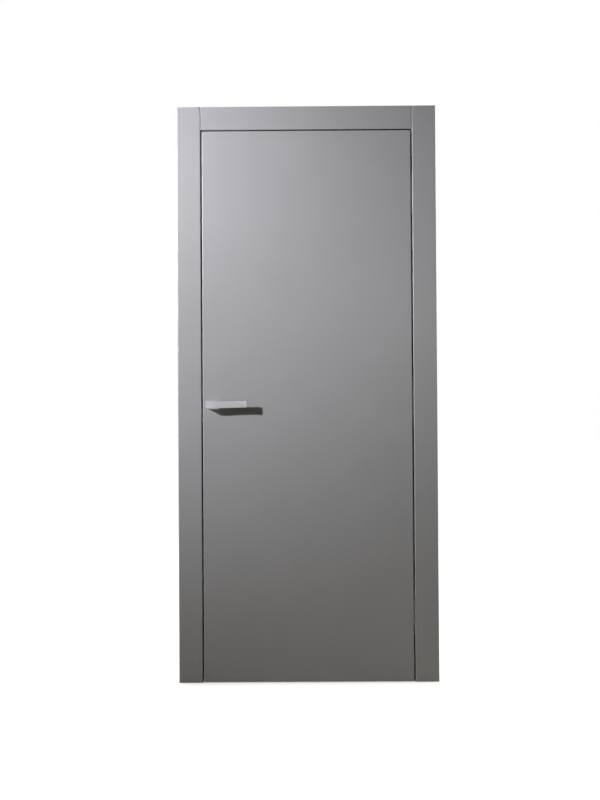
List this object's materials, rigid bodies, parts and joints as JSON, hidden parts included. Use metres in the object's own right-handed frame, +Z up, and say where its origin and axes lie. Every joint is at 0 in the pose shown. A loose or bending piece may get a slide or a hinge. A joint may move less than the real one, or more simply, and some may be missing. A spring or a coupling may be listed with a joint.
{
  "type": "interior door",
  "caption": "Flush painted interior door leaf in a frame with flat casings level with it, concealed hinges and a square-edged lever handle.",
  "frame": {"origin": "on the hinge jamb's outer, wall-side face, at floor level, in the middle of the wall's thickness", "axes": "+X out of the hinge jamb into the wall beside the door, +Y through the wall away from the side the leaf opens to, +Z up"},
  "size_m": [0.99, 0.178, 2.2],
  "materials": {
    "enamel": "satin grey enamel on board",
    "core_board": "bare board, hidden inside the leaf",
    "handle_metal": "satin silver",
    "hinge_metal": "satin",
    "lock_metal": "brushed",
    "seal_rubber": "matt dark grey"
  },
  "bodies": {
    "frame": {"jamb_hinge": "enamel", "jamb_lock": "enamel", "jamb_head": "enamel", "casing_front_hinge": "enamel", "casing_front_lock": "enamel", "casing_front_head": "enamel", "casing_back_hinge": "enamel", "casing_back_lock": "enamel", "casing_back_head": "enamel", "seal_hinge": "seal_rubber", "seal_lock": "seal_rubber", "seal_head": "seal_rubber", "strike_plate": "lock_metal", "hinge_jamb_cup_lower": "hinge_metal", "hinge_jamb_cup_middle": "hinge_metal", "hinge_jamb_cup_upper": "hinge_metal"},
    "leaf": {"leaf_skin_front": "enamel", "leaf_skin_back": "enamel", "leaf_stile_lock": "enamel", "leaf_stile_hinge": "enamel", "leaf_rail_top": "enamel", "leaf_rail_bottom": "enamel", "leaf_core": "core_board", "hinge_leaf_cup_lower": "hinge_metal", "hinge_leaf_cup_middle": "hinge_metal", "hinge_leaf_cup_upper": "hinge_metal", "lock_faceplate": "lock_metal", "lock_case": "lock_metal", "latch_bolt": "lock_metal", "rose_front": "handle_metal", "rose_back": "handle_metal"},
    "hinge_arms": {"hinge_arms_lower": "hinge_metal", "hinge_arms_middle": "hinge_metal", "hinge_arms_upper": "hinge_metal"},
    "handle": {"lever_front": "handle_metal", "lever_back": "handle_metal", "spindle": "handle_metal"}
  },
  "joints": [
    {"name": "leaf_swing", "type": "hinge", "parent": "frame", "child": "leaf", "pos_m": [-0.0475, -0.0645, 1.058], "axis": [0, 0, 1], "range_deg": [0, 100]},
    {"name": "hinge_arm_turn", "type": "hinge", "parent": "frame", "child": "hinge_arms", "pos_m": [-0.0475, -0.0645, 1.058], "axis": [0, 0, 1], "range_deg": [0, 42]},
    {"name": "handle_turn", "type": "hinge", "parent": "leaf", "child": "handle", "pos_m": [-0.811, -0.04, 1.058], "axis": [0, 1, 0], "range_deg": [0, 40], "stiffness_Nm_per_rad": 1, "springref_deg": -45.84}
  ],
  "couplings": [
    {"joint": "hinge_arm_turn", "follows": "leaf_swing", "ratio": 0.42}
  ]
}
